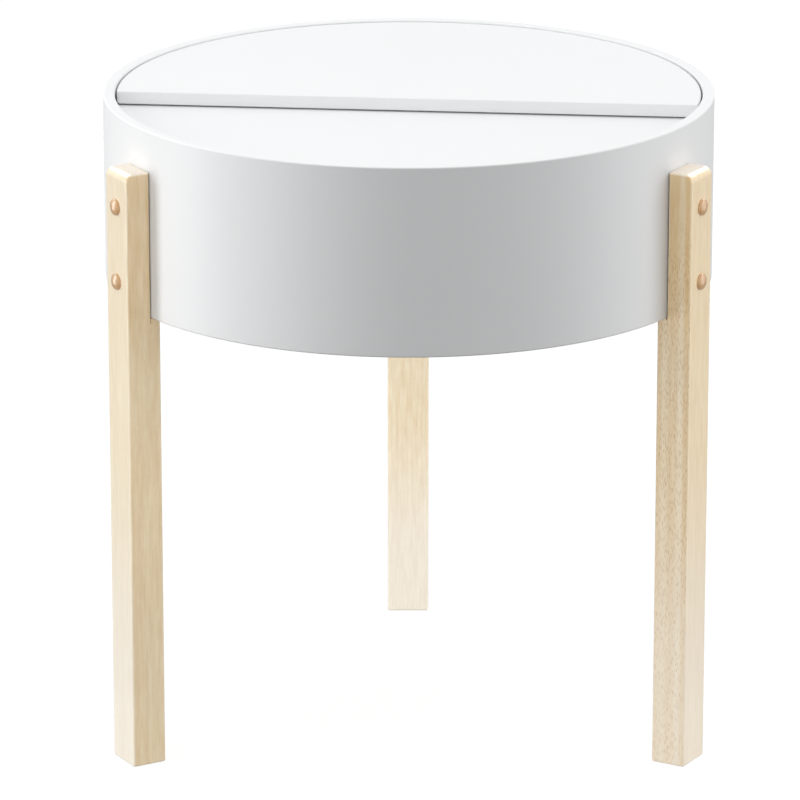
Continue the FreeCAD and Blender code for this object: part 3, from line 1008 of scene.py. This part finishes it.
class END_TABLE_OT_studio(Operator):
    """Set up the floor, the lamps and the camera"""

    bl_idname = "end_table.studio"
    bl_label = "Studio"

    def execute(self, context):
        studio = context.scene.end_table_studio
        self.add_sweep()
        self.light_table(studio)
        self.light_wood(studio)
        context.scene.world = self.room(studio)
        self.add_camera(context.scene, studio)
        context.scene.view_settings.view_transform = "Standard"
        return {"FINISHED"}

    def add_sweep(self):
        """A round floor whose edge curves up into a wall, so that every view has a plain background."""
        bm = bmesh.new()
        bmesh.ops.create_circle(bm, cap_ends=True, segments=WIDE_STEPS, radius=FLOOR_RADIUS)
        rim = [edge for edge in bm.edges if edge.is_boundary]
        wall = bmesh.ops.extrude_edge_only(bm, edges=rim)["geom"]
        bmesh.ops.translate(bm, vec=(0, 0, SWEEP_HEIGHT), verts=verts_of(wall))
        bmesh.ops.recalc_face_normals(bm, faces=bm.faces[:])
        bmesh.ops.reverse_faces(bm, faces=bm.faces[:])
        round_edges(bm, along_ring(FLOOR_RADIUS, 0), SWEEP_ROUND, segments=12)
        sweep = add_object("studio_sweep", make_mesh(bm, "studio_sweep", Matrix()))
        sweep.data.materials.append(finish_named("studio_white", studio_white))
        sweep.data.shade_smooth()
        sweep.visible_diffuse = False
        sweep.visible_glossy = False
        sweep.visible_shadow = False
        sweep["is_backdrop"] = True

    def aimed(self, place, target):
        """A place from which -Z points at a target, with the top edge up."""
        look = (Vector(target) - Vector(place)).to_track_quat("-Z", "Y")
        return Matrix.Translation(place) @ look.to_matrix().to_4x4()

    def around(self, turn):
        """A place beside the table, by its angle to the right of the camera's side."""
        return AXIS + Matrix.Rotation(turn, 3, "Z") @ BESIDE

    def add_softbox(self, name, place, sheet, power, reached=()):
        """A lamp behind an oblong sheet, aimed at the drum. It may be kept to some of the pieces."""
        lamp = bpy.data.lights.new(name, "AREA")
        lamp.shape = "RECTANGLE"
        lamp.size, lamp.size_y = sheet
        lamp.energy = power
        softbox = add_object(name, lamp)
        softbox.matrix_world = self.aimed(place, AXIS + Vector((0, 0, LEG_TOP)))
        softbox.visible_camera = False
        if reached:
            softbox.light_linking.receiver_collection = self.pieces_named(f"lit_by_{name}", reached)
        return softbox

    def pieces_named(self, name, starts):
        """A collection of the pieces whose names start in one of these ways."""
        chosen = bpy.data.collections.new(name)
        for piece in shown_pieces():
            if piece.name.startswith(starts):
                chosen.objects.link(piece)
        return chosen

    def light_table(self, studio):
        """Softboxes at both sides, in front and above. Those at the sides leave out the wood."""
        left, right = self.around(-SIDE_ANGLE), self.around(SIDE_ANGLE)
        self.add_softbox("key_softbox", left, NARROW_SHEET, studio.key_power, ALL_BUT_WOOD)
        self.add_softbox("left_softbox", self.around(-LEFT_ANGLE), NARROW_SHEET, studio.left_power)
        self.add_softbox("right_softbox", right, WIDE_SHEET, studio.right_power, ALL_BUT_WOOD)
        self.add_softbox("top_softbox", TOP_LAMP, TOP_SHEET, studio.top_power)

    def light_wood(self, studio):
        """Lamps for the legs and plugs alone, which are brighter than the drum above them."""
        left, right = self.around(-SIDE_ANGLE), self.around(SIDE_ANGLE)
        under_floor = AXIS - Vector((0, 0, GLOW_DEPTH))
        self.add_softbox("wood_key_softbox", left, NARROW_SHEET, studio.wood_key_power, WOOD)
        self.add_softbox("wood_right_softbox", right, WIDE_SHEET, studio.wood_right_power, WOOD)
        self.add_softbox("floor_glow", under_floor, GLOW_SHEET, studio.glow_power, WOOD)
        self.add_softbox("front_softbox", LOW_LAMP, LOW_SHEET, studio.front_power, FRONT_WOOD)
        self.add_softbox("rear_softbox", LOW_LAMP, LOW_SHEET, studio.rear_power, REAR_WOOD)
        glints = [
            self.add_softbox(f"{side}_edge_softbox", place, EDGE_SHEET, studio.edge_power, WOOD)
            for side, place in EDGE_LAMPS.items()]
        beside_plugs = self.around(-PLUG_ANGLE)
        glints.append(
            self.add_softbox("plug_softbox", beside_plugs, PLUG_SHEET, studio.plug_power, LEFT_PLUGS))
        for lamp in glints:
            lamp.visible_diffuse = False

    def room(self, studio):
        """Soft light all around, most of it from the ceiling and the backdrop."""
        shading = Shading(bpy.data.worlds.new("studio_room"))
        towards = shading.node("ShaderNodeTexCoord", {}, {}, "Generated")
        above = shading.step(shading.part(towards, "Z"), -ROOM_BLEND, ROOM_BLEND)
        behind = shading.step(shading.part(towards, "Y"), -ROOM_BLEND, ROOM_BLEND)
        return shading.finish({
            "Color": WHITE_LIGHT,
            "Strength": studio.room + studio.ceiling * above + studio.backdrop * behind})

    def add_camera(self, scene, studio):
        """The camera in front of the table, looking down at it without shift or roll."""
        lens = bpy.data.cameras.new("camera")
        lens.lens = studio.lens
        lens.clip_end = VIEW_END
        camera = add_object("camera", lens)
        target = AXIS + Vector((studio.sidestep, 0, studio.aim_height))
        back = Vector((0, -math.cos(studio.pitch), math.sin(studio.pitch)))
        camera.matrix_world = self.aimed(target + studio.distance * back, target)
        scene.camera = camera


GROUPS = {
    "end_table_drum": EndTableDrum,
    "end_table_lids": EndTableLids,
    "end_table_legs": EndTableLegs,
    "end_table_fasteners": EndTableFasteners,
    "end_table_finish": EndTableFinish,
    "end_table_studio": EndTableStudio,
}
OPERATORS = (
    END_TABLE_OT_drum_wall,
    END_TABLE_OT_inner_boards,
    END_TABLE_OT_lids,
    END_TABLE_OT_glides,
    END_TABLE_OT_legs,
    END_TABLE_OT_plugs,
    END_TABLE_OT_nuts,
    END_TABLE_OT_bolts,
    END_TABLE_OT_studio,
)


class END_TABLE_PT_sidebar(Panel):
    """Sizes, colours and build steps of the end table"""

    bl_idname = "END_TABLE_PT_sidebar"
    bl_label = "Storage end table"
    bl_space_type = "VIEW_3D"
    bl_region_type = "UI"
    bl_category = "End Table"

    def draw(self, context):
        for name, group in GROUPS.items():
            box = self.layout.box()
            box.label(text=group.__doc__)
            for key in group.__annotations__:
                box.prop(getattr(context.scene, name), key)
        for operator in OPERATORS:
            self.layout.operator(operator.bl_idname)


def register():
    for group in GROUPS.values():
        bpy.utils.register_class(group)
    for name, group in GROUPS.items():
        setattr(bpy.types.Scene, name, PointerProperty(type=group))
    for operator in OPERATORS:
        bpy.utils.register_class(operator)
    bpy.utils.register_class(END_TABLE_PT_sidebar)


def unregister():
    bpy.utils.unregister_class(END_TABLE_PT_sidebar)
    for operator in reversed(OPERATORS):
        bpy.utils.unregister_class(operator)
    for name, group in GROUPS.items():
        delattr(bpy.types.Scene, name)
        bpy.utils.unregister_class(group)


def main():
    """Build the table piece by piece, set up the studio and note both boxes."""
    register()
    bpy.ops.end_table.drum_wall()
    bpy.ops.end_table.inner_boards()
    bpy.ops.end_table.lids()
    bpy.ops.end_table.glides()
    bpy.ops.end_table.legs()
    bpy.ops.end_table.plugs()
    bpy.ops.end_table.nuts()
    bpy.ops.end_table.bolts()
    bpy.ops.end_table.studio()


if __name__ == "__main__":
    main()
